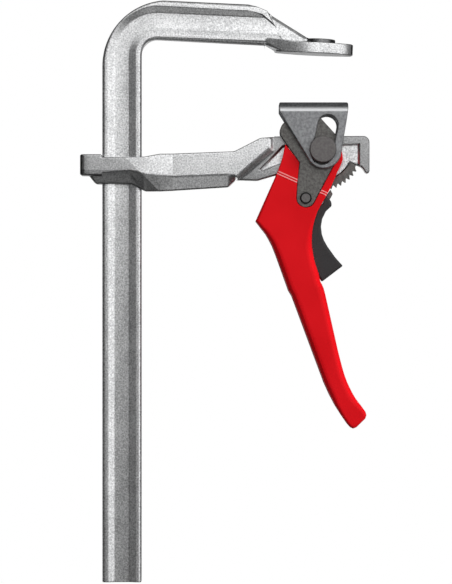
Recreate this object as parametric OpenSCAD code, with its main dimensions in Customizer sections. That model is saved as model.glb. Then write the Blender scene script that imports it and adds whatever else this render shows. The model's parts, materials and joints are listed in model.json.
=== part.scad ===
// Lever bar clamp. A forged bar carries a fixed jaw; a sliding arm rides on the bar and
// holds a cam lever, a ratchet with a release trigger, and a lifting pressure plate.
// The origin is the centre of the fixed jaw's face. X runs from the bar towards the
// jaws' tip, Y is the clamp's thickness and Z runs up the bar.

/* [Bar] */
// Reach from the bar's inner edge to the middle of the jaws
throat = 110; // [95:1:130]
// Length of bar below the fixed jaw's face
bar_below = 337.5; // [300:0.5:420]
// Width of the bar's section
bar_w = 25; // [23:0.5:27]
// Thickness of the bar's section
bar_t = 12; // [11:0.25:13]
// Rounding of the bar's four outer edges
bar_edge_r = 2; // [1:0.1:2.5]
// Width of the long groove at the bar's face
groove_w = 17.3; // [14:0.1:18]
// Width of the groove's floor
groove_floor_w = 9.6; // [7:0.1:12]
// Depth of the groove in each face
groove_d = 1.8; // [1:0.1:2.5]
// Inner radius of the bend between bar and top arm
bend_r = 10; // [8:0.5:14]
// Outer radius of the bend, larger because the bar thins there
bend_outer_r = 42; // [36:0.5:50]
// Angle by which the top arm droops, so that it comes square under load
arm_droop = 2.7; // [1:0.1:4]

/* [Fixed jaw] */
// Length of the jaw's pad along the arm
jaw_len = 50; // [44:1:56]
// Width of the jaw's pad
jaw_w = 30; // [26:1:36]
// Thickness of the jaw's pad
jaw_t = 7; // [5:0.5:9]
// Radius of the pad's long curved sides
jaw_side_r = 40; // [34:1:60]
// Radius of the raised middle on top of the pad
jaw_boss_r = 9.5; // [8:0.5:11]
// Height of that raised middle above the pad
jaw_boss_h = 2.7; // [1.5:0.1:4]
// Thickness of the gusset between arm and pad
gusset_t = 9; // [6:0.5:11]
// Height of the arm's underside above the jaw's face
arm_lift = 4.5; // [3.5:0.25:6]

/* [Sliding arm] */
// Main pin's place, measured from the middle of the jaws
pin_x = 5.6; // [4:0.1:8]
// Depth of the main pin below the fixed jaw's face in the pose modelled
pin_drop = 61.4; // [58:0.1:90]
// Play of the bar in the arm's eye, on each side
eye_play = 0.3; // [0.2:0.05:0.5]
// Wall of the eye behind the bar
eye_wall = 13.7; // [11:0.1:17]
// Width of the eye across its two cheeks
eye_w = 24; // [22:0.5:28]
// Height of the eye's rear wall
eye_h = 13.3; // [11:0.1:16]
// Thickness of the beam between eye and head
beam_t = 16; // [14:0.5:18]
// Height of the beam at the eye
beam_h = 23.6; // [20:0.1:26]
// Thickness of the head's rim
head_t = 12; // [10:0.25:12]
// Thickness of the head's web, where it is recessed
web_t = 7; // [5:0.5:9]
// Length that sets the head between the hook and the thick end of the beam
head_len = 60; // [60:0.5:62]
// Radius of the boss round the main pin
boss_r = 10; // [9:0.25:10.5]

/* [Ratchet] */
// Radius over the tips of the teeth
tooth_r = 25.6; // [25:0.1:25.8]
// Depth of the teeth
tooth_d = 2; // [1.5:0.1:2.2]
// Angle from one tooth to the next
tooth_pitch = 7.5; // [7.5:0.1:7.5]
// Number of teeth
tooth_count = 10; // [8:1:10]
// Radial width of the toothed segment under its teeth
segment_w = 4.4; // [3.5:0.1:5]
// Thickness of the toothed segment
segment_t = 10; // [8:0.5:11]

/* [Main pin] */
// Diameter of the main pin
pin_d = 12.6; // [12:0.1:12.6]
// Diameter of its two heads
pin_head_d = 17; // [16.5:0.5:19]
// Thickness of its two heads
pin_head_t = 3.1; // [2:0.1:4]
// Diameter of the riveted end that holds the rear ring
pin_end_d = 9; // [7:0.5:10]
// Radial running clearance on the pins
run_clear = 0.06; // [0.03:0.01:0.1]

/* [Pressure plate] */
// Length of the plate's working face
plate_len = 43.8; // [40:0.2:46]
// Height of the working face above the main pin
plate_rise = 30.1; // [29.8:0.1:31]
// Thickness of the pressed sheet
sheet_t = 3.2; // [2.5:0.1:3.4]
// Outer radius of the sheet's two bends
plate_bend_r = 5; // [4:0.25:6]
// Radius of the cheeks' rounded foot
plate_foot_r = 11.2; // [11:0.1:12.5]
// Tilt of the lifting slot from the upright
slot_tilt = 11.2; // [8:0.1:13]
// Height of the slot's upper centre above the pin
slot_up = 15.85; // [14:0.05:16]
// Depth of the slot's lower centre below the pin
slot_down = 3.05; // [3:0.05:3.3]

/* [Lever] */
// Length of the lever from the main pin to its tip
lever_len = 178; // [165:1:200]
// Thickness of the moulded handle
handle_t = 22.6; // [22.4:0.1:23]
// Gap between the handle's cheeks, which takes the arm's head
fork_gap = 12.6; // [12.6:0.1:13]
// Floor of moulding left behind each cam plate
fork_floor = 1.5; // [1:0.1:1.7]
// Rounding of the grip's edges
grip_r = 5; // [3:0.25:6]
// Thickness of each cam plate
cam_t = 3; // [2.5:0.1:3.1]
// Gap all round a cam plate in its pocket
pocket_gap = 0.15; // [0.1:0.05:0.3]
// Distance of the cam's lifting lobe from the main pin
lobe_throw = 21.2; // [20.5:0.1:21.4]
// Radius of the lifting lobe
lobe_r = 7.6; // [7:0.1:7.8]
// Radius of the cam plate's outer corner
shoulder_r = 7.4; // [6.5:0.1:8]
// Radius of the cam plate's foot round the pawl rivet
cam_foot_r = 6; // [5.5:0.1:6.5]

/* [Pawl and trigger] */
// Pawl rivet's place across from the main pin
pivot_x = 10.75; // [10.5:0.05:11]
// Pawl rivet's depth below the main pin
pivot_drop = 30.85; // [30.6:0.05:31.2]
// Diameter of the pawl rivet
rivet_d = 5; // [4:0.25:5.5]
// Diameter of the pawl rivet's heads
rivet_head_d = 7.4; // [6.5:0.1:8.5]
// Height of the pawl rivet's heads
rivet_head_t = 1.4; // [1:0.1:2]
// Outer diameter of the spacing sleeve on the pawl rivet
sleeve_d = 8; // [7.5:0.25:8.5]
// Thickness of the steel pawl
pawl_t = 6; // [5:0.25:7]
// Radius of the ring of pawl and trigger round the sleeve
pawl_ring_r = 6.3; // [6:0.1:6.4]
// Angle by which the pawl stands clear of the teeth in the pose modelled
pawl_clear_angle = 8; // [7.5:0.1:9]
// Trigger's length from the pawl rivet to its tail, as a share of the lever's
trigger_share = 0.275; // [0.26:0.005:0.28]
// Thickness of the trigger
trigger_t = 12; // [11:0.25:12]
// Rounding of the trigger's edges
trigger_edge_r = 1.4; // [0.8:0.1:2]
// Diameter of the pin that ties the trigger to the pawl
tie_pin_d = 3; // [2.5:0.1:3.5]
// Wire of the return spring
spring_wire_d = 0.9; // [0.7:0.05:1.1]
// Outer diameter of the return spring
spring_d = 7; // [6:0.25:8]
// Turns of the return spring
spring_turns = 7; // [5:1:9]

/* [Hidden] */
$fn = 64;

// How far a cutting tool runs past the face it cuts
overrun = 1;
// Gap between pieces that sit side by side and may slide
side_gap = 0.1;
// Step and overlap where the arm's straight stretch meets the bend
seam_step = 0.02;
seam_lap = 0.4;

// Bar and bend
bar_mid_x = -(throat + bar_w / 2);
bend_mid_r = bend_r + bar_w / 2;
bend_x = -throat + bend_r;
arm_mid = arm_lift + bar_w / 2;
bend_z = (arm_mid - bend_mid_r - bend_x * sin(arm_droop)) / cos(arm_droop);
arm_start = bend_x * cos(arm_droop) - bend_z * sin(arm_droop);

// Fixed jaw: the crease where the bar's section ends, the taper above it and the gusset,
// as shares of the pad's length, measured along the arm and up from the jaw's face
crease_shares = [[-0.92, 0.60], [-0.76, 0.57], [-0.62, 0.52], [-0.40, 0.135], [-0.36, 0.02]];
gusset_shares = [[-0.64, 0.53], [-0.555, 0.46], [-0.09, 0.20], [-0.09, 0.10], [-0.44, 0.06],
                 [-0.62, 0.12]];
jaw_boss_share = 0.08;
groove_end_shares = [[-0.92, 0.53], [-0.80, 0.505], [-0.68, 0.465], [-0.40, 0.252]];
knuckle_share = 0.26;
knuckle_r = 11.5;
knuckle_lift = 0.5;

// Sliding arm, from the main pin
eye_mid_x = bar_mid_x - pin_x;
eye_left = eye_mid_x - bar_w / 2 - eye_play - eye_wall;
eye_right = eye_mid_x + bar_w / 2 + eye_play;
eye_top = -3;
eye_corner_r = 3;
bar_side = eye_mid_x + bar_w / 2;
window_w = bar_w + 2 * eye_play;
window_t = bar_t + 2 * eye_play;
// Thickness of the eye's cheeks at their lower edge
cheek_foot_t = 2.6;

// Lengthwise stations of the arm's forging, as shares of the beam's height before or past
// the bar's inner edge, with the half width, the top, the end of the upright face, the
// half width below and the bottom as shares of the same height
eye_stations = [
    [-1.43, 0, -0.20, -0.61, -0.70],
    [-1.24, 0, -0.20, -0.61, -0.92],
    [-0.29, 0, -0.20, -0.57, -0.92],
    [0.10, 0, -0.19, -0.67, -1.115],
    [0.50, 0.55, -0.11, -0.70, -1.115],
    [0.85, 1, -0.105, -0.73, -1.10]];
// The beam's end at the head, as shares of the head's length and of the beam's height
beam_end_shares = [[-1.0, -0.045, -0.675, -1.005], [-0.923, -0.04, -0.66, -0.82]];
beam_foot_share = 0.5;

// The head, as shares of its length, and its hook, as shares of the teeth's radius
thick_end_shares = [[-0.94, -0.017], [-0.657, 0.128], [-0.56, 0.128], [-0.56, 0.025],
                    [-0.923, -0.283]];
thick_slope_shares = [[-0.94, -0.017], [-0.657, 0.128], [-0.52, 0.128], [-0.52, -0.015],
                      [-0.888, -0.325]];
head_top_shares = [[-0.905, -0.017], [-0.657, 0.128], [-0.44, 0.143]];
hook_shares = [[1.172, -0.527], [1.155, -0.57], [1.113, -0.591], [1.062, -0.555],
               [1.008, -0.469], [0.949, -0.415]];
head_foot_shares = [[-0.493, -0.268], [-0.65, -0.315], [-0.692, -0.327], [-0.915, -0.32]];
head_corner_r = 4;
head_tip_x = hook_shares[0][0] * tooth_r;
head_top_z = 0.347 * tooth_r;
rim_w = 5.1;
web_left_shares = [[-0.42, 0.04], [-0.655, -0.205], [-0.642, -0.225], [-0.455, -0.147],
                   [-0.083, -0.297]];
web_corner_shares = [[0.872, -0.422], [0.909, -0.345]];

// Ratchet
tooth_first = 31.8;
root_r = tooth_r - tooth_d;
segment_in_r = root_r - segment_w;
segment_from = 24.3;
segment_to = 107.7;
land_share = 0.04;
flank_share = 0.30;
valley_share = 0.46;
bulge_shares = [0.75, 0.35];
nose_gap = 0.15;
nose_tooth = 6;
nose_spans = [3.2, 4, 14];

trigger_len = trigger_share * lever_len;

// Layers across the thickness, as distances from the middle plane
floor_y = fork_gap / 2 + fork_floor;
cam_in_y = floor_y + side_gap;
cam_out_y = cam_in_y + cam_t;
plate_w = 30;
plate_in_y = plate_w / 2 - sheet_t;
boss_y = floor_y;
pin_r = pin_d / 2;

// Pressure plate, from the main pin
plate_left = -27.7;
cheek_left_z = 24;
cheek_right_shares = [[0.54, 0.88], [0.51, 0.65]];
foot_x = 0.6;
foot_z = -1;
foot_in = plate_foot_r - side_gap;

// Cam plate, from the main pin
lobe_at = [-lobe_throw * cos(63), lobe_throw * sin(63)];
shoulder_at = [-19.8, 11.6];
pivot_at = [-pivot_x, -pivot_drop];
cam_lean = 28.3;
cam_rise = 125.7;
lobe_end = 33;
shoulder_end = 216.3;
cam_right_shares = [[0.41, -0.03], [0.425, 0.14], [0.29, 0.333], [-0.028, 0.68]];
cam_left_shares = [[-0.514, -0.285], [-0.5625, -0.75]];

// Handle outline, as shares of the lever's length from the main pin
heel_shares = [[-0.2405, -0.256]];
left_edge_shares = [[-0.134, 0.018], [-0.142, -0.020], [-0.151, -0.052], [-0.170, -0.098]];
grip_left_shares = [[-0.205, -0.302], [-0.182, -0.344], [-0.155, -0.415], [-0.123, -0.505],
                    [-0.111, -0.525], [-0.076, -0.619], [-0.036, -0.724], [0.004, -0.834],
                    [0.044, -0.916], [0.089, -0.984]];
grip_tip_shares = [[0.098, -0.994], [0.109, -0.999], [0.121, -0.994], [0.153, -0.963],
                   [0.157, -0.950], [0.153, -0.938]];
grip_right_shares = [[0.138, -0.917], [0.117, -0.889], [0.097, -0.852], [0.080, -0.811],
                     [0.063, -0.751], [0.0465, -0.682], [0.031, -0.613], [0.016, -0.545],
                     [0.004, -0.496], [-0.007, -0.474]];
waist_shares = [[-0.015, -0.440], [-0.025, -0.410], [-0.031, -0.385], [-0.038, -0.345],
                [-0.038, -0.310], [-0.034, -0.275], [-0.020, -0.225], [0.004, -0.181],
                [0.029, -0.135], [0.055, -0.075], [0.072, -0.036], [0.067, -0.006]];
fork_r = 17;
fork_from = 281.5;
fork_to = 204;
channel_shares = [[-0.30, -0.227], [-0.211, -0.227], [-0.202, -0.254], [-0.180, -0.297],
                  [-0.154, -0.344], [-0.130, -0.409], [-0.105, -0.481], [-0.094, -0.502],
                  [0.007, -0.482], [0.20, -0.482], [0.20, 0.06], [-0.30, 0.06]];
// Rounding of the edges at heights in shares of the lever's length, as shares of the grip's
edge_shares = [[-1, 0.4], [-0.95, 0.45], [-0.88, 0.9], [-0.36, 1], [-0.22, 0.24],
               [-0.12, 0.24], [-0.05, 0.08], [1, 0.08]];
crease_line_shares = [[-0.19, -0.070], [0.03, -0.167]];
crease_line_w = 0.7;
crease_line_d = 0.35;
crease_line_pitch = 1.6;

// Trigger outline, as shares of its length from the pawl rivet
trigger_shares = [[0.10, 0.115], [-0.096, 0.06], [-0.096, -0.178], [-0.075, -0.33],
                  [-0.043, -0.490], [0.061, -0.831], [0.213, -1.090], [0.486, -0.883],
                  [0.386, -0.771], [0.286, -0.631], [0.240, -0.55], [0.212, -0.47],
                  [0.200, -0.371], [0.216, -0.271], [0.265, -0.171], [0.341, -0.100],
                  [0.335, -0.045], [0.300, 0.0]];
tie_pin_share = [0.20, -0.05];
spring_z_share = 0.49;
spring_gap = 0.2;

// A point at a radius and an angle below the X axis
function below(r, a) = [r * cos(a), -r * sin(a)];
// A table of shares brought to size
function sized(shares, size) = [for (p = shares) p * size];
// Points on an arc, angles counted from X towards Z
function arc(at, r, from, to, steps) =
    [for (i = [0:steps]) at + r * [cos(from + (to - from) * i / steps),
                                   sin(from + (to - from) * i / steps)]];
// The unit normal that points into a counter-clockwise outline at one of its corners
function edge_dir(p, i, j) = (p[j] - p[i]) / norm(p[j] - p[i]);
function corner_in(p, i) =
    let (n = len(p),
         a = edge_dir(p, (i + n - 1) % n, i),
         b = edge_dir(p, i, (i + 1) % n),
         m = [-(a[1] + b[1]), a[0] + b[0]],
         c = max(1 + a * b, 0.6))
    m / c;
// A counter-clockwise outline grown by a gap all round
function grown(p, gap) = [for (i = [0:len(p) - 1]) p[i] - corner_in(p, i) * gap];
// An outline cut into triangles: corners that stick out are cut off one by one
function turn(a, b, c) = (b[0] - a[0]) * (c[1] - a[1]) - (b[1] - a[1]) * (c[0] - a[0]);
function holds(a, b, c, q) = turn(a, b, q) >= 0 && turn(b, c, q) >= 0 && turn(c, a, q) >= 0;
function is_ear(p, left, i) =
    let (n = len(left),
         a = left[(i + n - 1) % n],
         b = left[i],
         c = left[(i + 1) % n])
    turn(p[a], p[b], p[c]) > 0
    && len([for (q = left)
        if (q != a && q != b && q != c && holds(p[a], p[b], p[c], p[q])) q]) == 0;
function first_ear(p, left, i) =
    i >= len(left) ? 0 : is_ear(p, left, i) ? i : first_ear(p, left, i + 1);
function without(list, i) = [for (k = [0:len(list) - 1]) if (k != i) list[k]];
function triangles(p, left, done) =
    len(left) < 3 ? done :
    let (n = len(left), i = first_ear(p, left, 0))
    triangles(p, without(left, i),
              concat(done, [[left[(i + n - 1) % n], left[i], left[(i + 1) % n]]]));
// One point of a smooth curve through four neighbours
function blend_point(a, b, c, d, t) =
    ((2 * b) + (c - a) * t + (2 * a - 5 * b + 4 * c - d) * t * t
     + (3 * b - a - 3 * c + d) * t * t * t) / 2;
// A smooth curve through a list of points, its ends kept
function smooth(p, steps) =
    let (n = len(p))
    [for (i = [0:n - 2])
        for (s = [0:steps - 1])
            blend_point(p[max(i - 1, 0)], p[i], p[i + 1], p[min(i + 2, n - 1)], s / steps),
     p[n - 1]];

// A drawing in X and Z given a thickness across Y
module flat(t) {
    rotate([90, 0, 0]) linear_extrude(t, center = true) children();
}

// The same between two distances from the middle plane, on the near or the far side
module layer(from, to, side) {
    translate([0, side * (from + to) / 2, 0]) flat(to - from) children();
}

// A round rod across Y, from the middle plane's one side to the other
module rod(r, t) {
    rotate([90, 0, 0]) cylinder(r = r, h = t, center = true);
}

// A round disc across Y between two distances from the middle plane
module disc(r, from, to, side) {
    translate([0, side * (from + to) / 2, 0]) rod(r, to - from);
}

// A slab cut to an outline, with its edges rounded by a radius given for each corner
module rounded_slab(outline, half_t, edge_r, steps) {
    n = len(outline);
    inward = [for (i = [0:n - 1]) corner_in(outline, i)];
    rows = concat([for (s = [steps:-1:0]) [-1, 90 * s / steps]],
                  [for (s = [0:steps]) [1, 90 * s / steps]]);
    points = [for (row = rows)
        for (i = [0:n - 1])
            let (at = outline[i] + inward[i] * edge_r[i] * (1 - cos(row[1])))
            [at[0], row[0] * (half_t - edge_r[i] * (1 - sin(row[1]))), at[1]]];
    last = (len(rows) - 1) * n;
    sides = [for (k = [0:len(rows) - 2])
        for (i = [0:n - 1])
            let (j = (i + 1) % n)
            [k * n + i, k * n + j, (k + 1) * n + j, (k + 1) * n + i]];
    flat_face = [for (i = [0:n - 1]) outline[i] + inward[i] * edge_r[i]];
    cap = triangles(flat_face, [for (i = [0:n - 1]) i], []);
    faces = concat([for (t = cap) [t[2], t[1], t[0]]], sides,
                   [for (t = cap) [for (i = t) last + i]]);
    polyhedron(points, faces, convexity = 6);
}

// A solid through sections drawn in Y and Z, each at its own X
module loft_x(places, sections) {
    n = len(sections[0]);
    points = [for (k = [0:len(places) - 1]) for (p = sections[k]) [places[k], p[0], p[1]]];
    last = (len(places) - 1) * n;
    sides = [for (k = [0:len(places) - 2])
        for (i = [0:n - 1])
            let (j = (i + 1) % n)
            [k * n + i, (k + 1) * n + i, (k + 1) * n + j, k * n + j]];
    faces = concat([[for (i = [0:n - 1]) i]], sides,
                   [[for (i = [n - 1:-1:0]) last + i]]);
    polyhedron(points, faces, convexity = 4);
}

// Bar

module rounded_box(w, h, r) {
    square([w - 2 * r, h], center = true);
    square([w, h - 2 * r], center = true);
    for (x = [-1, 1], y = [-1, 1])
        translate([x * (w / 2 - r), y * (h / 2 - r)]) circle(r);
}

// The bar's section, fuller by a small step where one stretch overlaps another
module bar_blank(step) {
    rounded_box(bar_w + 2 * step, bar_t + 2 * step, bar_edge_r + step);
}

module groove_sections(step) {
    for (side = [0, 1]) mirror([0, side])
        translate([0, bar_t / 2 + step]) polygon([
            [-groove_w / 2, overrun], [-groove_w / 2, 0],
            [-groove_floor_w / 2, -groove_d], [groove_floor_w / 2, -groove_d],
            [groove_w / 2, 0], [groove_w / 2, overrun]]);
}

module bar_section(step) {
    difference() {
        bar_blank(step);
        groove_sections(step);
    }
}

module jaw_oval() {
    intersection() {
        circle(d = jaw_len);
        for_both_sides();
    }
}

module for_both_sides() {
    intersection() {
        translate([0, jaw_side_r - jaw_w / 2]) circle(jaw_side_r);
        translate([0, jaw_w / 2 - jaw_side_r]) circle(jaw_side_r);
    }
}

// What the outer side of the bar loses where it is drawn round the bend
module bend_relief() {
    centre = bend_outer_r - bend_mid_r - bar_w / 2;
    translate([bend_x + centre, 0, bend_z - centre]) mirror([1, 0, 0]) rotate([90, 0, 0])
        rotate_extrude(angle = 90) difference() {
            translate([bend_outer_r - bar_edge_r - overrun, -bar_t])
                square([bar_w, 2 * bar_t]);
            translate([bend_outer_r - bar_w / 2, 0])
                rounded_box(bar_w, bar_t + 2 * seam_step, bar_edge_r);
        }
}

// The arm: its section is cut along the crease, and its grooves end a lip's width before
module top_arm() {
    crease = sized(crease_shares, jaw_len);
    top = bar_w + arm_lift + overrun;
    difference() {
        translate([arm_start - seam_lap, 0, arm_mid]) rotate([0, 90, 0])
            linear_extrude(seam_lap - arm_start + crease[4][0]) bar_blank(seam_step);
        flat(bar_t + 2 * overrun)
            polygon(concat(crease, [[0, 0], [0, top], [crease[0][0], top]]));
        intersection() {
            translate([arm_start - overrun, 0, arm_mid]) rotate([0, 90, 0])
                linear_extrude(overrun - arm_start) groove_sections(seam_step);
            flat(bar_t + 4 * overrun) polygon(concat(
                [[0, 0]], [[0, groove_end_shares[3][1] * jaw_len]],
                [for (i = [3:-1:0]) groove_end_shares[i] * jaw_len],
                [[arm_start - 2 * overrun, top], [arm_start - 2 * overrun, 0]]));
        }
    }
}

module fixed_jaw() {
    lip = (bar_w - groove_w) / 2;
    linear_extrude(jaw_t) jaw_oval();
    translate([jaw_boss_share * jaw_len, 0, 0]) cylinder(r = jaw_boss_r, h = jaw_t + jaw_boss_h);
    flat(gusset_t) polygon(sized(gusset_shares, jaw_len));
    hull() {
        translate([crease_shares[2][0] * jaw_len, 0, arm_lift + lip / 2])
            cube([overrun, bar_t - seam_step, lip - seam_step], center = true);
        translate([-knuckle_share * jaw_len, 0, knuckle_lift])
            cylinder(r = knuckle_r, h = jaw_t, $fn = 32);
    }
}

module fixed_bar() {
    color("silver") {
        difference() {
            union() {
                translate([bar_mid_x, 0, bend_z]) mirror([0, 0, 1])
                    linear_extrude(bar_below + bend_z) bar_section(0);
                translate([bend_x, 0, bend_z]) mirror([1, 0, 0]) rotate([90, 0, 0])
                    rotate_extrude(angle = 90 + arm_droop)
                        translate([bend_mid_r, 0]) bar_section(0);
                rotate([0, arm_droop, 0]) top_arm();
            }
            bend_relief();
        }
        rotate([0, arm_droop, 0]) fixed_jaw();
    }
}

// Sliding arm

// A section of the arm: half width above, top, end of the upright face, half width
// below and bottom
function arm_section(half, top, edge, foot, bottom) =
    [[-foot, bottom], [foot, bottom], [half, edge], [half, top], [-half, top], [-half, edge]];

module arm_forging() {
    cheek_foot = window_t / 2 + cheek_foot_t;
    beam_foot = beam_t / 2 * beam_foot_share;
    eye_places = [for (s = eye_stations) bar_side + s[0] * beam_h];
    eye_sections = [for (s = eye_stations) arm_section(
        eye_w / 2 + (beam_t - eye_w) / 2 * s[1], s[2] * beam_h, s[3] * beam_h,
        cheek_foot + (beam_foot - cheek_foot) * s[1], s[4] * beam_h)];
    end_places = [for (s = beam_end_shares) s[0] * head_len];
    end_sections = [for (s = beam_end_shares) arm_section(
        beam_t / 2, s[1] * beam_h, s[2] * beam_h, beam_foot, s[3] * beam_h)];
    loft_x(concat(eye_places, end_places), concat(eye_sections, end_sections));
}

module eye_wall_block() {
    translate([eye_left, 0, eye_top - eye_h]) linear_extrude(eye_h) {
        translate([eye_corner_r, -eye_w / 2])
            square([eye_wall + eye_play - eye_corner_r, eye_w]);
        translate([0, -eye_w / 2 + eye_corner_r])
            square([eye_wall, eye_w - 2 * eye_corner_r]);
        for (y = [-1, 1])
            translate([eye_corner_r, y * (eye_w / 2 - eye_corner_r)]) circle(eye_corner_r);
    }
}

// The head's outline, with the seat of the toothed segment cut away
module head_outline() {
    corner = [head_tip_x - head_corner_r, head_top_z - head_corner_r];
    polygon(concat(
        sized(head_foot_shares, head_len),
        sized(head_top_shares, head_len),
        arc(corner, head_corner_r, 90, 0, 8),
        sized(hook_shares, tooth_r),
        [below(root_r, segment_from)],
        [for (i = [0:12]) below(segment_in_r, segment_from + (segment_to - segment_from) * i / 12)],
        [below(root_r, segment_to)]));
}

// The recess in each face of the head
module web_outline() {
    difference() {
        polygon(concat(
            sized(web_left_shares, head_len),
            [for (i = [12:-1:0]) below(segment_in_r + overrun, segment_from
                                       + (segment_to - 2 * overrun - segment_from) * i / 12)],
            sized(web_corner_shares, tooth_r),
            [[web_corner_shares[1][0] * tooth_r, head_top_z - rim_w]]));
        circle(boss_r);
    }
}

module sliding_arm() {
    color("gainsboro") translate([pin_x, 0, -pin_drop]) difference() {
        union() {
            arm_forging();
            eye_wall_block();
            hull() {
                flat(beam_t) polygon(sized(thick_end_shares, head_len));
                flat(head_t) polygon(sized(thick_slope_shares, head_len));
            }
            difference() {
                flat(head_t) head_outline();
                for (side = [-1, 1]) layer(web_t / 2, head_t, side) web_outline();
            }
            rod(boss_r, 2 * boss_y);
        }
        rod(pin_r + run_clear, 2 * boss_y + 2 * overrun);
        translate([eye_mid_x, 0, eye_top - beam_h / 2])
            cube([window_w, window_t, 2 * beam_h], center = true);
    }
}

// Ratchet

function tooth_points(k) =
    let (a = tooth_first + k * tooth_pitch)
    [below(root_r, a - (1 - valley_share) * tooth_pitch),
     below(root_r + bulge_shares[1] * tooth_d, a - (1 - bulge_shares[0]) * tooth_pitch),
     below(tooth_r, a),
     below(tooth_r, a + land_share * tooth_pitch),
     below(root_r, a + flank_share * tooth_pitch)];

module ratchet_segment() {
    color("dimgray") translate([pin_x, 0, -pin_drop]) flat(segment_t) polygon(concat(
        [for (i = [12:-1:0]) below(segment_in_r, segment_from + (segment_to - segment_from) * i / 12)],
        [below(root_r, segment_from)],
        [for (k = [0:tooth_count - 1]) each tooth_points(k)],
        [below(root_r, segment_to)]));
}

// Main pin

module main_pin() {
    color("gray") translate([pin_x, 0, -pin_drop]) {
        rod(pin_r, plate_w + 2 * side_gap);
        disc(pin_head_d / 2, plate_w / 2 + side_gap, plate_w / 2 + side_gap + pin_head_t, -1);
        disc(pin_end_d / 2, 0, plate_w / 2 + side_gap + pin_head_t, 1);
    }
}

module main_pin_ring() {
    color("gray") translate([pin_x, 0, -pin_drop]) difference() {
        disc(pin_head_d / 2, plate_w / 2 + side_gap, plate_w / 2 + side_gap + pin_head_t, 1);
        rod(pin_end_d / 2, 2 * plate_w);
    }
}

// Pressure plate

module plate_cheek() {
    right = sized(cheek_right_shares, plate_rise);
    difference() {
        union() {
            polygon([
                [plate_left, plate_rise], [plate_left, cheek_left_z],
                [foot_x - foot_in * cos(33), foot_z - foot_in * sin(33)],
                [foot_x, foot_z], [foot_x + foot_in * cos(9), foot_z - foot_in * sin(9)],
                right[1], right[0], [plate_left + plate_len, plate_rise]]);
            translate([foot_x, foot_z]) circle(plate_foot_r);
        }
        rotate(-slot_tilt) {
            translate([0, slot_up]) circle(slot_r);
            translate([0, -slot_down]) circle(slot_r);
            translate([-slot_side, -slot_down]) square([2 * slot_side, slot_up + slot_down]);
        }
    }
}

slot_r = pin_r + side_gap;
slot_side = slot_r - seam_step / 2;

module plate_channel() {
    in_r = plate_bend_r - sheet_t;
    difference() {
        union() {
            translate([-plate_w / 2, 0]) square([plate_w, plate_rise + plate_foot_r]);
            translate([-plate_w / 2 + plate_bend_r, 0])
                square([plate_w - 2 * plate_bend_r, plate_rise + plate_foot_r + plate_bend_r]);
            for (y = [-1, 1])
                translate([y * (plate_w / 2 - plate_bend_r), plate_rise + plate_foot_r])
                    circle(plate_bend_r);
        }
        translate([-plate_in_y, -overrun])
            square([2 * plate_in_y, plate_rise + plate_foot_r + overrun]);
        translate([-plate_in_y + in_r, 0])
            square([2 * (plate_in_y - in_r), plate_rise + plate_foot_r + in_r]);
        for (y = [-1, 1])
            translate([y * (plate_in_y - in_r), plate_rise + plate_foot_r]) circle(in_r);
    }
}

module pressure_plate() {
    color("slategray") translate([pin_x, 0, -pin_drop]) intersection() {
        flat(plate_w + overrun) plate_cheek();
        translate([plate_left - overrun, 0, -plate_foot_r - plate_bend_r])
            rotate([90, 0, 90]) linear_extrude(plate_len + 2 * overrun) plate_channel();
    }
}

// Lever

// A cam plate's outline, from the main pin
cam_points = concat(
    arc(pivot_at, cam_foot_r, 180, 360 - cam_lean, 12),
    sized(cam_right_shares, lobe_throw + lobe_r),
    arc(lobe_at, lobe_r, lobe_end, cam_rise, 10),
    arc(shoulder_at, shoulder_r, cam_rise, shoulder_end, 10),
    sized(cam_left_shares, lobe_throw + lobe_r));

module cam_plate(side) {
    color("darkgray") translate([pin_x, 0, -pin_drop]) difference() {
        layer(cam_in_y, cam_out_y, side) polygon(cam_points);
        rod(pin_r + run_clear, 2 * plate_w);
        translate([pivot_at[0], 0, pivot_at[1]]) rod(rivet_d / 2 + run_clear, 2 * plate_w);
    }
}

module cam_plate_front() {
    cam_plate(-1);
}

module cam_plate_rear() {
    cam_plate(1);
}

handle_shares = concat(
    left_edge_shares, heel_shares, smooth(grip_left_shares, 2), grip_tip_shares,
    smooth(grip_right_shares, 2), smooth(waist_shares, 2));

// Two shallow lines across the lever's head
module crease_lines() {
    start = crease_line_shares[0] * lever_len;
    run = (crease_line_shares[1] - crease_line_shares[0]) * lever_len;
    for (side = [-1, 1], k = [0, 1])
        layer(handle_t / 2 - crease_line_d, handle_t, side)
            translate(start) rotate(atan2(run[1], run[0]))
                translate([0, -k * crease_line_pitch]) square([norm(run), crease_line_w]);
}

module lever_handle() {
    outline = concat(sized(handle_shares, lever_len), arc([0, 0], fork_r, fork_from, fork_to, 8));
    edge_r = [for (p = outline) grip_r * lookup(p[1] / lever_len, edge_shares)];
    color("red") translate([pin_x, 0, -pin_drop]) difference() {
        rounded_slab(outline, handle_t / 2, edge_r, 3);
        flat(fork_gap) polygon(sized(channel_shares, lever_len));
        for (side = [-1, 1])
            layer(floor_y, handle_t, side) polygon(grown(cam_points, pocket_gap));
        crease_lines();
        translate([pivot_at[0], 0, pivot_at[1]]) rod(rivet_d / 2 + run_clear, 2 * plate_w);
    }
}

// Pawl and trigger

module at_pivot() {
    translate([pin_x - pivot_x, 0, -pin_drop - pivot_drop]) children();
}

module pawl_rivet() {
    color("dimgray") at_pivot() {
        rod(rivet_d / 2, 2 * cam_out_y + 2 * side_gap);
        for (side = [-1, 1])
            disc(rivet_head_d / 2, cam_out_y + side_gap, cam_out_y + side_gap + rivet_head_t, side);
    }
}

module pivot_sleeve() {
    color("silver") at_pivot() difference() {
        rod(sleeve_d / 2, fork_gap - side_gap);
        rod(rivet_d / 2 + run_clear, plate_w);
    }
}

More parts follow.
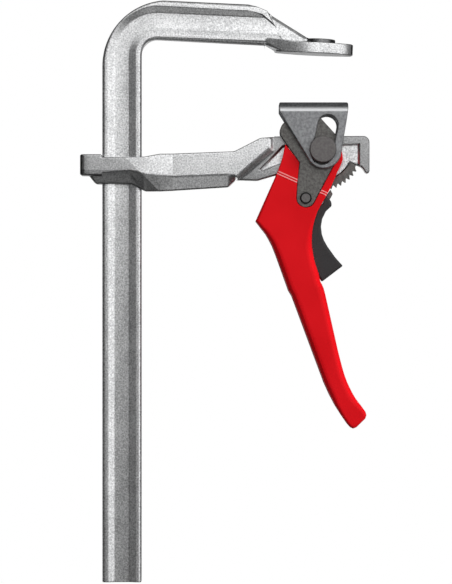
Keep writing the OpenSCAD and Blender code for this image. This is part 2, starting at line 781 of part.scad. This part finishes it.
// The pawl's outline in mesh with the teeth, from the main pin; its slot in the
// trigger has a gap round the ring
module pawl_outline(gap) {
    nose_at = tooth_first + nose_tooth * tooth_pitch
              + (flank_share + valley_share) / 2 * tooth_pitch;
    polygon([
        below(root_r + nose_gap, nose_at - 0.3),
        below(root_r + nose_gap, nose_at + 0.35),
        below(tooth_r + 0.2 * tooth_d, nose_at + nose_spans[1]),
        below(tooth_r + 0.35 * tooth_d, nose_at + nose_spans[2]),
        pivot_at + pawl_ring_r * [0.26, 0.966],
        pivot_at,
        pivot_at + pawl_ring_r * [-0.17, -0.985],
        below(1.22 * tooth_r, nose_at + nose_spans[0]),
        below(1.13 * tooth_r, nose_at + 0.2),
        below(tooth_r + 0.4 * tooth_d, nose_at - 2.95)]);
    translate(pivot_at) circle(pawl_ring_r + gap);
}

module pawl() {
    color("gray") at_pivot() difference() {
        rotate([0, pawl_clear_angle, 0]) translate([pivot_x, 0, pivot_drop])
            flat(pawl_t) pawl_outline(0);
        rod(sleeve_d / 2 + run_clear, plate_w);
        tie_pin_place() rod(tie_pin_d / 2, plate_w);
    }
}

module tie_pin_place() {
    translate([tie_pin_share[0] * trigger_len, 0, tie_pin_share[1] * trigger_len]) children();
}

module trigger() {
    outline = sized(trigger_shares, trigger_len);
    edge_r = [for (p = outline) trigger_edge_r];
    color("#202020") at_pivot() difference() {
        union() {
            rounded_slab(outline, trigger_t / 2, edge_r, 2);
            rod(pawl_ring_r, trigger_t - side_gap);
        }
        rod(sleeve_d / 2 + run_clear, plate_w);
        tie_pin_place() rod(tie_pin_d / 2, plate_w);
        rotate([0, pawl_clear_angle, 0]) translate([pivot_x, 0, pivot_drop])
            flat(pawl_t) pawl_outline(side_gap);
    }
}

module tie_pin() {
    color("silver") at_pivot() tie_pin_place() rod(tie_pin_d / 2, trigger_t - 2 * side_gap);
}

// Return spring: a coil from the handle's spine to the back of the trigger

spring_drop = spring_z_share * trigger_len;
// X of the handle's spine at a height, and of the trigger's back, from pin and rivet
function spine_at(z) =
    lever_len * lookup(z / lever_len, [for (i = [1:7]) [channel_shares[i][1], channel_shares[i][0]]]);
function trigger_back(z) =
    trigger_len * lookup(z / trigger_len, [for (i = [1:6]) [trigger_shares[i][1], trigger_shares[i][0]]]);

module return_spring() {
    sides = 6;
    rings = 8 * spring_turns;
    r = (spring_d - spring_wire_d) / 2;
    seat = spring_wire_d / 2 + spring_gap;
    from = spine_at(-pivot_drop - spring_drop - spring_d / 2) + pivot_x + seat;
    to = trigger_back(spring_d / 2 - spring_drop) - seat;
    pitch = (to - from) / spring_turns;
    points = [for (i = [0:rings])
        for (s = [0:sides - 1])
            let (turn = 360 * i / 8, round = 360 * s / sides,
                 out = r + spring_wire_d / 2 * cos(round))
            [from + pitch * i / 8 + spring_wire_d / 2 * sin(round),
             out * cos(turn), out * sin(turn)]];
    last = rings * sides;
    quads = [for (i = [0:rings - 1])
        for (s = [0:sides - 1])
            let (t = (s + 1) % sides)
            each [[i * sides + s, i * sides + t, (i + 1) * sides + t],
                  [i * sides + s, (i + 1) * sides + t, (i + 1) * sides + s]]];
    faces = concat([[for (s = [sides - 1:-1:0]) s]], quads,
                   [[for (s = [0:sides - 1]) last + s]]);
    color("silver") at_pivot() translate([0, 0, -spring_drop])
        polyhedron(points, faces, convexity = 8);
}

fixed_bar();
sliding_arm();
ratchet_segment();
main_pin();
main_pin_ring();
pressure_plate();
lever_handle();
cam_plate_front();
cam_plate_rear();
pawl_rivet();
pivot_sleeve();
pawl();
trigger();
tie_pin();
return_spring();
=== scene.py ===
import json
import math

import bmesh
import bpy
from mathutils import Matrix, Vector


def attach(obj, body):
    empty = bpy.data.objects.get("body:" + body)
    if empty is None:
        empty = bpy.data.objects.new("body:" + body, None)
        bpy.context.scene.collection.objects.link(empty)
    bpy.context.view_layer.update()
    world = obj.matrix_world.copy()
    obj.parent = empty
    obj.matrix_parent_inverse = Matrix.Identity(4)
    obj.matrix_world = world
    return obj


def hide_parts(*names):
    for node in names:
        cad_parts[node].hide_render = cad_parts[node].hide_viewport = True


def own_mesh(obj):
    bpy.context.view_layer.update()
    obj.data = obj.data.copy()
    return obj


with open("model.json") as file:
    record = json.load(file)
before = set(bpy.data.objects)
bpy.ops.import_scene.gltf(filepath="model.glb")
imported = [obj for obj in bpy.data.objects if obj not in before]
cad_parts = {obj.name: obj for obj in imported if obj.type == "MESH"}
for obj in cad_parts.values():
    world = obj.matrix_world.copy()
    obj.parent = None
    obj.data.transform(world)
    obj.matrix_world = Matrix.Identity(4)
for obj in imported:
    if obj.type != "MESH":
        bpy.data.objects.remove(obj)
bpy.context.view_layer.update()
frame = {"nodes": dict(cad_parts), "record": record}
scene = bpy.context.scene

MM = 0.001

# The picture: its size in pixels, the pixel of the fixed jaw's face, which is the
# frame's origin, and how much of the clamp one pixel shows
PICTURE_WIDE, PICTURE_HIGH = 452, 584
JAW_COLUMN, JAW_ROW = 313.5, 54.3
PIXEL = 0.64 * MM
CAMERA_AWAY = 2.2
SENSOR = 36

# The bar's centre line runs up, round a bend about this point, and out along the arm,
# which falls a little on its way
BEND_X, BEND_Z = -100 * MM, -0.79 * MM
BEND_RADIUS = 22.5 * MM
ARM_FALL = 0.0472
# The groove's floor: half its width, and the depth within which only the floor lies
GROOVE_HALF = 4.8 * MM
GROOVE_FLOOR_Y = 5 * MM
GROOVE_HOLLOW = 5.5

# The sliding arm's head: its left side and top, and how deep web and frame lie
HEAD_LEFT, HEAD_TOP = -48.5 * MM, -45 * MM
WEB_Y, FRAME_Y = 4.5 * MM, 6.3 * MM
# The eye round the bar: the line x + z to its right, its underside, its end, its depth
EYE_LINE = -186.4 * MM
EYE_UNDER = -74.5 * MM
EYE_END = (-149 * MM, -142 * MM)
EYE_Y = 6.5 * MM
# The fixed jaw: a point on the gusset's slope, the slope's outward direction and how far
# under the slope the edge that is painted dark as shade reaches, then boss and pad
SLOPE_AT = (-26.56 * MM, 24.19 * MM)
SLOPE_OUT = (0.5353, 0.8446)
SLOPE_EDGE = (-2.0 * MM, -1.2 * MM)
SLOPE_LEFT, SLOPE_FOOT = -27 * MM, 9.5 * MM
BOSS_LEFT, PAD_TOP = -4 * MM, 6.6 * MM
PAD_END = (18.5 * MM, 22.5 * MM)
PAD_FOOT = -2 * MM

# The pressure plate: where its cheeks start to curve, how fast, and the painted highlight band
# there
CHEEK_Y = 12.5 * MM
FOLD_START = -37.3 * MM
FOLD_CURVE = -125
HIGHLIGHT_BAND_FOOT = (-37.6 * MM, -36.6 * MM)
HIGHLIGHT_BAND_TOP = (-34.8 * MM, -33.9 * MM)
HIGHLIGHT_BAND_COLOUR = (0.95, 0.96, 0.97)
HIGHLIGHT_BAND_SHARE = 0.75

# The pawl rivet: its axis, the ring on its heads that is painted dark as shade, and their depth
RIVET_X, RIVET_Z = -5.15 * MM, -92.25 * MM
RIVET_SHADE_START = (2.6 * MM, 2.9 * MM)
RIVET_SHADE_END = 4 * MM
RIVET_HEAD_Y = 8 * MM
RIVET_SHADE_COLOUR = (0.02, 0.02, 0.02)

# The two fine grooves across the lever's head, where light lines are painted as highlights:
# a point by them, the direction across them, how far off they lie, half their width, and where the
# lever's sides are
CREASE_AT = (-27.4 * MM, -73.6 * MM)
CREASE_ACROSS = (0.4035, 0.915)
CREASE_OFFSETS = (0.35 * MM, -1.25 * MM)
CREASE_HALF = 0.4 * MM
CREASE_RIGHT = 13 * MM
LEVER_SIDE_Y = 10 * MM
CREASE_HIGHLIGHT_COLOUR = (0.95, 0.30, 0.30)

# Rounding: corners closer than WELD are one, faces that turn less than FLAT degrees are
# one, a face thinner than SLIVER is no face, and a face takes a rounding where it
# reaches ROOM times the rounding's size from the edge
WELD = 0.03 * MM
FLAT = 1.0
SLIVER = 0.1 * MM
ROOM = 1.6
# Shading: edges between two faces larger than BROAD stay sharp from BROAD_TURN degrees
# on, all others from CURVE_TURN degrees on
BROAD = 20 * MM * MM
BROAD_TURN, CURVE_TURN = 5, 35
FLAT_WEIGHT = 80

# The studio's cards: the direction that they lie in, where their light starts and where
# it is full, as the cosine of the angle off that direction, and how bright they are
RIGHT_PANEL = ((0.743, -0.669, 0), (0.86, 0.97), 1.3)
LOW_CARD = ((0, -0.64, -0.77), (0.90, 0.99), 0.32)
LOW_CARD_MIDDLE = ((0, -0.64, -0.77), (0.955, 0.998), 0.65)
LEFT_CARD = ((-0.77, -0.64, 0), (0.95, 0.998), 0.30)
BACKDROP = ((0, 1, 0), (0.95, 0.995), 1.0)
FRONT_TILT = (0.5, -0.75, 1.6)
REAR_GLOW = 0.7
DARK = 0.045

FLOOR_Z = -0.75
FLOOR_HALF = 400
FLOOR_GLOW = 0.7
FLOOR_FADE = (1.5, 5.0)


class Socket:
    """An output socket that takes part in Python expressions."""

    def __init__(self, tree, out):
        self.tree, self.out = tree, out

    def math(self, operation, *others):
        node = self.tree.nodes.new("ShaderNodeMath")
        node.operation = operation
        for i, value in enumerate((self,) + others):
            plug(self.tree, value, node.inputs[i])
        return Socket(self.tree, node.outputs[0])

    def __add__(self, other):
        return self.math("ADD", other)

    __radd__ = __add__

    def __mul__(self, other):
        return self.math("MULTIPLY", other)

    __rmul__ = __mul__

    def __sub__(self, other):
        return self.math("SUBTRACT", other)

    def __rsub__(self, other):
        return (self * -1) + other

    def at_least(self, other):
        return self.math("MAXIMUM", other)

    def above(self, limit):
        """1 where the value is above the limit, else 0."""
        return self.math("GREATER_THAN", limit)

    def below(self, limit):
        """1 where the value is below the limit, else 0."""
        return self.math("LESS_THAN", limit)

    def over(self, low, high):
        """0 below low, 1 above high, smooth in between."""
        return make(self.tree, "ShaderNodeMapRange", dict(interpolation_type="SMOOTHSTEP"),
                    {0: self, 1: low, 2: high, 3: 0.0, 4: 1.0})


def plug(tree, value, into):
    if isinstance(value, Socket):
        tree.links.new(value.out, into)
    elif into.type == "RGBA" and len(value) == 3:
        into.default_value = (*value, 1)
    else:
        into.default_value = value


def make(tree, kind, settings=None, inputs=None, out=0):
    """A node with its settings and its sockets' values or links; returns one output."""
    node = tree.nodes.new(kind)
    for name, value in (settings or {}).items():
        setattr(node, name, value)
    for name, value in (inputs or {}).items():
        plug(tree, value, node.inputs[name])
    return Socket(tree, node.outputs[out])


def blend_colours(tree, share, a, b):
    return make(tree, "ShaderNodeMix", dict(data_type="RGBA"), {0: share, 6: a, 7: b}, out=2)


def grey_colour(tree, value):
    return make(tree, "ShaderNodeCombineXYZ", None, {0: value, 1: value, 2: value})


def place(tree):
    """The place on the clamp, in the frame that all its pieces share."""
    return make(tree, "ShaderNodeTexCoord", out=3)


def parts_of(tree, vector):
    """The x, y and z of a vector socket."""
    node = tree.nodes.new("ShaderNodeSeparateXYZ")
    plug(tree, vector, node.inputs[0])
    return [Socket(tree, out) for out in node.outputs]


def ray_kinds(tree, *names):
    path = tree.nodes.new("ShaderNodeLightPath")
    return [Socket(tree, path.outputs[name]) for name in names]


def noise(tree, scale, detail=2.0, rough=0.5):
    return make(tree, "ShaderNodeTexNoise", None,
                {"Vector": place(tree), "Scale": scale, "Detail": detail, "Roughness": rough})


def bump(tree, height, distance, strength=1.0):
    return make(tree, "ShaderNodeBump", None,
                {"Height": height, "Distance": distance, "Strength": strength})


def finish_of(name, paint):
    material = bpy.data.materials.new(name)
    material.use_nodes = True
    tree = material.node_tree
    tree.nodes.clear()
    values = paint(tree)
    shader = tree.nodes.new("ShaderNodeBsdfPrincipled")
    for key, value in values.items():
        plug(tree, value, shader.inputs[key])
    end = tree.nodes.new("ShaderNodeOutputMaterial")
    tree.links.new(shader.outputs[0], end.inputs[0])
    material.diffuse_color = (0.5, 0.5, 0.5, 1)
    return material


def groove_hollow(tree):
    """The groove's floor is slightly hollow: it rises with the square of the way from
    the bar's centre line."""
    x, y, z = parts_of(tree, place(tree))
    out = (BEND_X - x).at_least(0.0)
    up = (z + (x - BEND_X).at_least(0.0) * ARM_FALL - BEND_Z).at_least(0.0)
    off = (out * out + up * up).math("SQRT") - BEND_RADIUS
    square = (off * off).math("MINIMUM", GROOVE_HALF * GROOVE_HALF)
    return square * GROOVE_HOLLOW * (y * y).below(GROOVE_FLOOR_Y * GROOVE_FLOOR_Y)


def forging_painted_shade(tree):
    """The forgings are painted darker, as shade, round the eye, on the jaw's boss and
    pad end, and along the gusset's slope; the head's frame is made darker than its web."""
    x, y, z = parts_of(tree, place(tree))
    deep = y.math("ABSOLUTE")
    head_frame = x.above(HEAD_LEFT) * z.below(HEAD_TOP) * deep.above(WEB_Y) * deep.below(FRAME_Y)
    eye = (x + z).below(EYE_LINE) * deep.above(EYE_Y)
    eye_end = eye * (1 - x.over(*EYE_END))
    eye_under = eye * z.below(EYE_UNDER)
    off_slope = (x - SLOPE_AT[0]) * SLOPE_OUT[0] + (z - SLOPE_AT[1]) * SLOPE_OUT[1]
    slope = off_slope.over(*SLOPE_EDGE) * x.above(SLOPE_LEFT) * z.above(SLOPE_FOOT)
    boss = x.above(BOSS_LEFT) * z.above(PAD_TOP)
    pad_end = x.over(*PAD_END) * z.above(PAD_FOOT)
    # Each mask but the head's frame paints shade into the forging's colour
    shade_factor = 1 - head_frame * 0.5
    for mask, share in ((eye, 0.28), (eye_end, 0.6), (eye_under, 0.4),
                        (slope.at_least(boss), 0.75), (pad_end, 0.7)):
        shade_factor = shade_factor * (1 - mask * share)
    return shade_factor


def forged_steel(tree, light=(0.97, 0.975, 0.98), dark=(0.47, 0.475, 0.48)):
    grain = noise(tree, scale=1000, detail=3.0, rough=0.65)
    cloud = noise(tree, scale=60, detail=3.0, rough=0.6)
    share = (grain * 0.8 + cloud * 0.2).over(0.34, 0.66)
    colour = blend_colours(tree, share, dark, light)
    # The forging's colour, with painted shade blended in towards black
    return {"Base Color": blend_colours(tree, forging_painted_shade(tree), (0.0, 0.0, 0.0), colour),
            "Metallic": 1.0,
            "Roughness": 0.26 + cloud * 0.06 + grain * 0.08,
            "Normal": bump(tree, grain * 0.00007 + groove_hollow(tree), distance=1.0)}


def dull_grain(tree):
    return noise(tree, scale=700, detail=3.0, rough=0.6)


def dull_values(tree, grain, light, dark):
    return {"Base Color": blend_colours(tree, grain.over(0.3, 0.7), dark, light),
            "Metallic": 0.9,
            "Roughness": 0.44 + grain * 0.14}


def dull_steel(tree, light=(0.22, 0.215, 0.205), dark=(0.12, 0.115, 0.11)):
    grain = dull_grain(tree)
    values = dull_values(tree, grain, light, dark)
    values["Normal"] = bump(tree, grain, distance=0.00012, strength=0.4)
    return values


def sheet_steel(tree):
    """Pressed sheet: its cheeks curve over into the top, which the bump shows, with a
    painted highlight band where they start to."""
    x, y, z = parts_of(tree, place(tree))
    cheek = y.math("ABSOLUTE").above(CHEEK_Y)
    up = (z - FOLD_START).at_least(0.0)
    fold = up * up * FOLD_CURVE * cheek
    highlight_band = z.over(*HIGHLIGHT_BAND_FOOT) * (1 - z.over(*HIGHLIGHT_BAND_TOP)) * cheek
    grain = dull_grain(tree)
    values = dull_values(tree, grain, light=(0.39, 0.40, 0.41), dark=(0.24, 0.24, 0.25))
    # A light band painted in as a highlight where the cheeks start to curve
    values["Base Color"] = blend_colours(tree, highlight_band * HIGHLIGHT_BAND_SHARE, values["Base Color"], HIGHLIGHT_BAND_COLOUR)
    values["Normal"] = bump(tree, grain * 0.00005 + fold, distance=1.0)
    return values


def black_steel(tree):
    """Blackened steel, painted darker still as shade round the edge of the pawl rivet's heads."""
    x, y, z = parts_of(tree, place(tree))
    right, up = x - RIVET_X, z - RIVET_Z
    off = (right * right + up * up).math("SQRT")
    shade_ring = off.over(*RIVET_SHADE_START) * off.below(RIVET_SHADE_END)
    edge = shade_ring * y.math("ABSOLUTE").above(RIVET_HEAD_Y)
    values = dull_steel(tree, light=(0.21, 0.20, 0.195), dark=(0.155, 0.145, 0.145))
    # A dark ring painted round the rivet heads as shade
    values["Base Color"] = blend_colours(tree, edge, values["Base Color"], RIVET_SHADE_COLOUR)
    return values


def bright_steel(tree):
    return dull_steel(tree, light=(0.66, 0.66, 0.67), dark=(0.52, 0.52, 0.53))


def crease_highlights(tree):
    """1 in the two fine grooves across the lever's head, where a highlight is painted."""
    x, y, z = parts_of(tree, place(tree))
    across = (x - CREASE_AT[0]) * CREASE_ACROSS[0] + (z - CREASE_AT[1]) * CREASE_ACROSS[1]
    first, second = (across.math("COMPARE", offset, CREASE_HALF) for offset in CREASE_OFFSETS)
    return (first + second) * y.math("ABSOLUTE").above(LEVER_SIDE_Y) * x.below(CREASE_RIGHT)


def red_moulding(tree):
    peel = noise(tree, scale=420)
    cloud = noise(tree, scale=25)
    red = blend_colours(tree, cloud.over(0.3, 0.7), (0.62, 0.005, 0.009), (0.70, 0.007, 0.012))
    # Light lines painted into the red as highlights along the two grooves
    return {"Base Color": blend_colours(tree, crease_highlights(tree), red, CREASE_HIGHLIGHT_COLOUR),
            "Roughness": 0.34 + cloud * 0.08,
            "Specular IOR Level": 0.06,
            "Normal": bump(tree, peel, distance=0.00006, strength=0.35)}


def black_moulding(tree):
    grain = noise(tree, scale=1500)
    return {"Base Color": blend_colours(tree, grain.over(0.3, 0.7), (0.013, 0.012, 0.013),
                                        (0.024, 0.022, 0.023)),
            "Roughness": 0.42 + grain * 0.12,
            "Normal": bump(tree, grain, distance=0.00008, strength=0.4)}


PAINTS = {
    "forged_steel": forged_steel,
    "hard_steel": dull_steel,
    "sheet_steel": sheet_steel,
    "dark_steel": black_steel,
    "bright_steel": bright_steel,
    "red_moulding": red_moulding,
    "black_moulding": black_moulding,
}
FINISHES = {name: finish_of(name, paint) for name, paint in PAINTS.items()}
SLOT_OF = {part["node"]: part["material_slot"] for part in frame["record"]["subparts"]}
BODY_OF = {name: body for body, names in frame["record"]["behaviour"]["bodies"].items()
           for name in names}


def put(name, bm, node):
    """A finished mesh that stands for a CAD node and moves with it."""
    for face in bm.faces:
        face.smooth = True
    for edge in bm.edges:
        turn = math.degrees(edge.calc_face_angle(0))
        broad = min(face.calc_area() for face in edge.link_faces) > BROAD
        edge.smooth = turn < (BROAD_TURN if broad else CURVE_TURN)
    mesh = bpy.data.meshes.new(name)
    bm.to_mesh(mesh)
    bm.free()
    piece = bpy.data.objects.new(name, mesh)
    scene.collection.objects.link(piece)
    mesh.materials.append(FINISHES[SLOT_OF[node]])
    flats = piece.modifiers.new("flat_faces", "WEIGHTED_NORMAL")
    flats.weight, flats.keep_sharp = FLAT_WEIGHT, True
    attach(piece, BODY_OF[node])
    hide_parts(node)
    return piece


def copy_of(node):
    """The CAD node's solid as a clean mesh, its flat faces joined."""
    bm = bmesh.new()
    bm.from_mesh(frame["nodes"][node].data)
    bmesh.ops.remove_doubles(bm, verts=bm.verts, dist=WELD)
    bmesh.ops.dissolve_limit(bm, angle_limit=math.radians(FLAT), verts=bm.verts,
                             edges=bm.edges, delimit=set())
    return bm


def reach_from(edge, face):
    """How far a face reaches from one of its edges; 0 for a sliver."""
    if 2 * face.calc_area() < SLIVER * face.calc_perimeter():
        return 0.0
    start = edge.verts[0].co
    along = (edge.verts[1].co - start).normalized()
    return max((v.co - start).cross(along).length for v in face.verts)


def break_edges(bm, size, angle, inside):
    """Rounds the edges that turn more than the angle, as tumbling or wear does; inside
    corners too, unless inside is false. Nothing leaves the solid's own box."""
    low, high = ([pick(v.co[i] for v in bm.verts) for i in range(3)] for pick in (min, max))
    sharp = [e for e in bm.edges if e.calc_face_angle(0) > math.radians(angle)
             and min(reach_from(e, face) for face in e.link_faces) > ROOM * size
             and (inside or e.is_convex)]
    bmesh.ops.bevel(bm, geom=sharp, offset=size, offset_type="OFFSET", affect="EDGES",
                    segments=3, profile=0.5, material=-1, clamp_overlap=False)
    for v in bm.verts:
        v.co = [min(max(v.co[i], low[i]), high[i]) for i in range(3)]


def dressed(node, name, size, angle=28, inside=True):
    """A CAD node's solid with its edges rounded by a size; 0 leaves them sharp."""
    bm = copy_of(node)
    if size:
        break_edges(bm, size, angle, inside)
    return put(name, bm, node)


dressed("fixed_bar", "bar_forging", 0.6 * MM, angle=18)
dressed("sliding_arm", "arm_forging", 1.0 * MM, angle=16)
dressed("ratchet_segment", "toothed_segment", 0)
dressed("main_pin", "pin_with_head", 0.8 * MM)
dressed("main_pin_ring", "riveted_ring", 0.3 * MM)
dressed("pressure_plate", "pressed_plate", 0.9 * MM, angle=40)
dressed("cam_plate_front", "near_cam_plate", 0.5 * MM)
dressed("cam_plate_rear", "far_cam_plate", 0.5 * MM)
dressed("pawl_rivet", "rivet", 0.6 * MM)
dressed("pivot_sleeve", "sleeve", 0.2 * MM)
dressed("pawl", "pawl_body", 0.3 * MM)
dressed("trigger", "trigger_body", 0.7 * MM)
dressed("tie_pin", "tie_rod", 0.2 * MM)
dressed("lever_handle", "red_lever", 0.3 * MM, inside=False)
coil = dressed("return_spring", "coil", 0)
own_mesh(coil)


def area_light(name, at, towards, size, radiance, on_gloss=True):
    """A flat panel; its power follows from the brightness of its face."""
    data = bpy.data.lights.new(name, "AREA")
    data.shape, data.size, data.size_y = "RECTANGLE", size[0], size[1]
    data.energy = radiance * math.pi * size[0] * size[1]
    light = bpy.data.objects.new(name, data)
    light.location = at
    light.rotation_euler = (Vector(towards) - Vector(at)).to_track_quat("-Z", "Y").to_euler()
    light.visible_glossy = on_gloss
    scene.collection.objects.link(light)


def studio(tree, way):
    """How bright the studio is along a direction: a broad front that fades downwards, a
    bright panel at the right, dim cards low in front and at the left, a bright backdrop
    straight behind and a lit floor behind to both sides; dark elsewhere."""
    x, y, z = parts_of(tree, way)

    def toward(direction):
        return x * direction[0] + y * direction[1] + z * direction[2]

    front = toward(FRONT_TILT).over(0.62, 1.05) * (y * -1).over(0.1, 0.45)
    rear = (y.over(0.15, 0.5) * (z * -1).over(0.08, 0.22)
            * x.math("ABSOLUTE").over(0.15, 0.35) * REAR_GLOW)
    lit = front.at_least(rear).at_least(DARK)
    for direction, edge, glow in (RIGHT_PANEL, LOW_CARD, LOW_CARD_MIDDLE, LEFT_CARD, BACKDROP):
        lit = lit.at_least(toward(direction).over(*edge) * glow)
    return lit


def graded_world():
    """White to the camera; to the object, the studio."""
    world = bpy.data.worlds.new("studio")
    scene.world = world
    world.use_nodes = True
    tree = world.node_tree
    tree.nodes.clear()
    seen, glass = ray_kinds(tree, "Is Camera Ray", "Is Transmission Ray")
    lit = studio(tree, make(tree, "ShaderNodeTexCoord", out=0))
    white = seen.at_least(glass)
    back = make(tree, "ShaderNodeBackground", None, {
        "Color": grey_colour(tree, white + lit * (1 - white)), "Strength": 1.0})
    end = tree.nodes.new("ShaderNodeOutputWorld")
    tree.links.new(back.out, end.inputs[0])


def floor():
    """Matt near the object, where it takes the shadow, and plain white far away. In the
    object's steel it carries the studio on below the horizon."""
    bm = bmesh.new()
    bmesh.ops.create_grid(bm, x_segments=1, y_segments=1, size=FLOOR_HALF)
    bmesh.ops.translate(bm, verts=bm.verts, vec=(0, 0, FLOOR_Z))
    mesh = bpy.data.meshes.new("floor")
    bm.to_mesh(mesh)
    bm.free()
    piece = bpy.data.objects.new("floor", mesh)
    scene.collection.objects.link(piece)
    material = bpy.data.materials.new("floor")
    material.use_nodes = True
    tree = material.node_tree
    tree.nodes.clear()
    seen, gloss, glass = ray_kinds(tree, "Is Camera Ray", "Is Glossy Ray", "Is Transmission Ray")
    at = place(tree)
    reach = make(tree, "ShaderNodeVectorMath", dict(operation="LENGTH"), {0: at}, out=1)
    way = make(tree, "ShaderNodeVectorMath", dict(operation="NORMALIZE"), {0: at})
    white = seen.at_least(glass)
    share = (white * FLOOR_GLOW).at_least(reach.over(*FLOOR_FADE) * white)
    matt = make(tree, "ShaderNodeBsdfDiffuse", None, {
        "Color": blend_colours(tree, white, (0.25, 0.25, 0.25), (0.80, 0.80, 0.80))})
    glow = make(tree, "ShaderNodeEmission", None, {
        "Color": grey_colour(tree, studio(tree, way) * gloss + white), "Strength": 1.0})
    both = make(tree, "ShaderNodeMixShader", None, {0: share + gloss, 1: matt, 2: glow})
    end = tree.nodes.new("ShaderNodeOutputMaterial")
    tree.links.new(both.out, end.inputs[0])
    mesh.materials.append(material)


def camera():
    """Looks straight at the clamp's front and shows as much of it as the picture does."""
    lens = bpy.data.cameras.new("camera")
    lens.sensor_width = SENSOR
    lens.lens = SENSOR * CAMERA_AWAY / (PICTURE_HIGH * PIXEL)
    lens.clip_end = 50
    eye = bpy.data.objects.new("camera", lens)
    eye.location = ((PICTURE_WIDE / 2 - JAW_COLUMN) * PIXEL, -CAMERA_AWAY,
                    (JAW_ROW - PICTURE_HIGH / 2) * PIXEL)
    eye.rotation_euler = (math.radians(90), 0, 0)
    scene.collection.objects.link(eye)
    scene.camera = eye


area_light("softbox", (0.06, -0.75, 0.10), (0.03, 0, 0.02), (0.45, 0.35), 0.95)
area_light("fill", (1.20, -0.65, 0.40), (0, 0, -0.15), (0.5, 0.5), 25.5, on_gloss=False)
area_light("rear_fill", (0.35, 1.20, 0.35), (0, 0, -0.15), (0.5, 0.5), 18, on_gloss=False)
graded_world()
floor()
camera()
scene.view_settings.view_transform = "Standard"
bpy.context.view_layer.update()
